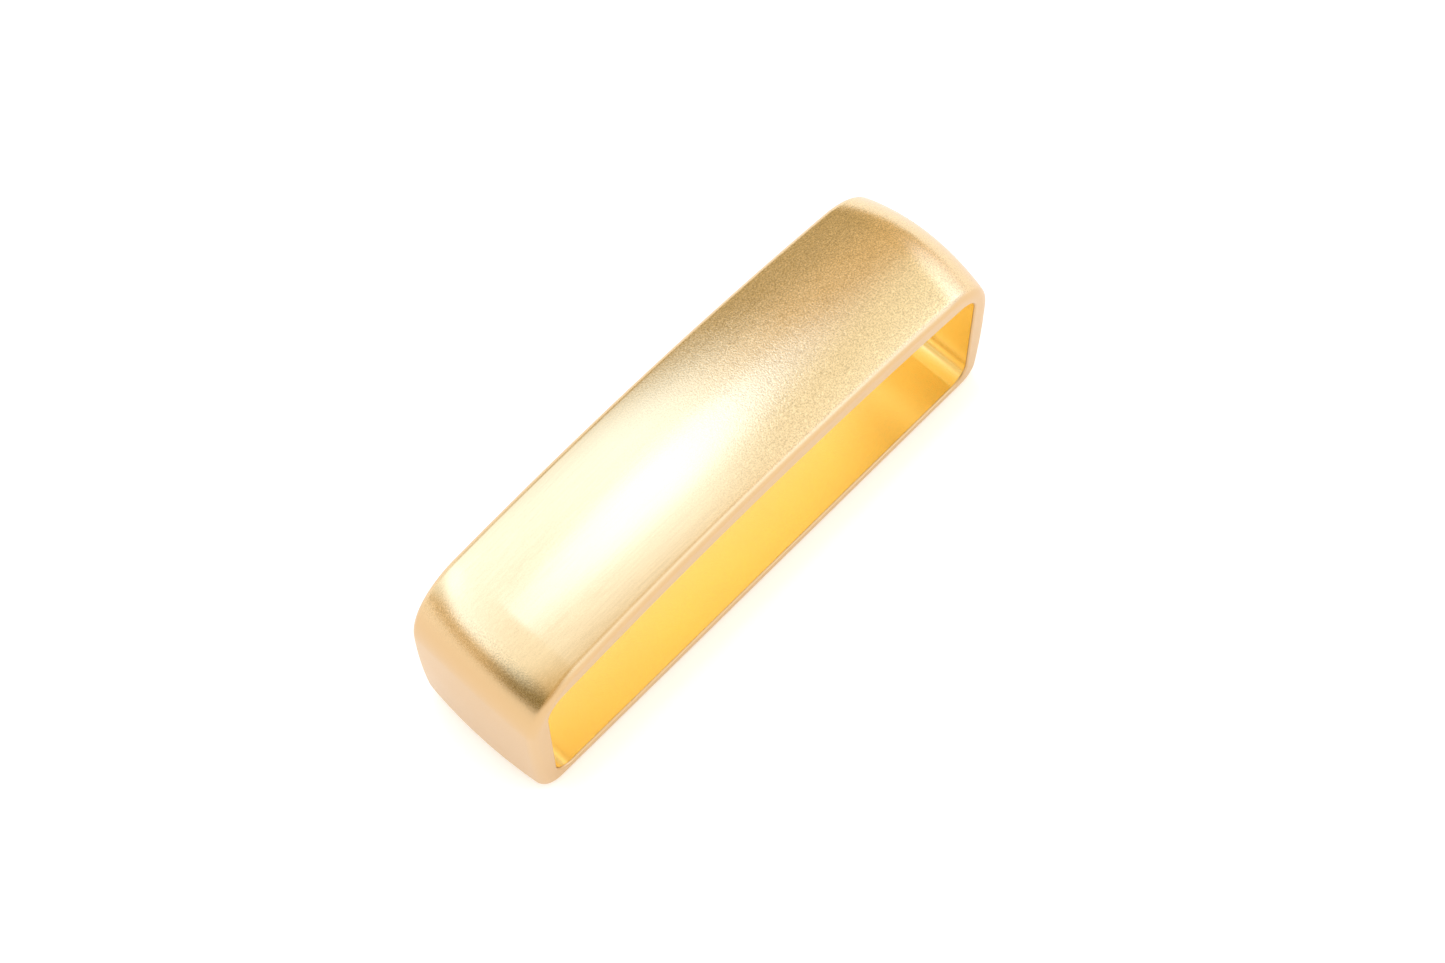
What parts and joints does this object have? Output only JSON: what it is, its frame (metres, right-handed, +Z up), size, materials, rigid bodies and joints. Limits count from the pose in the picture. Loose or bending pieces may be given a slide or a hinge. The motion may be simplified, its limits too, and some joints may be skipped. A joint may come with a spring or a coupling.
{
  "type": "buckle slider",
  "caption": "One-piece crowned metal loop with a rectangular through slot that slides along a flat strap; satin outside, polished inside.",
  "frame": {"origin": "middle of the flat underside, below the centre of the slot", "axes": "+X along the length of the slot, +Y along the strap through the slot, +Z up towards the crowned show face"},
  "size_m": [0.0438, 0.011, 0.0163],
  "materials": {
    "gold_metal": "satin brushed outside, polished inside the slot"
  },
  "bodies": {
    "root": {"strap_loop": "gold_metal"}
  },
  "joints": []
}
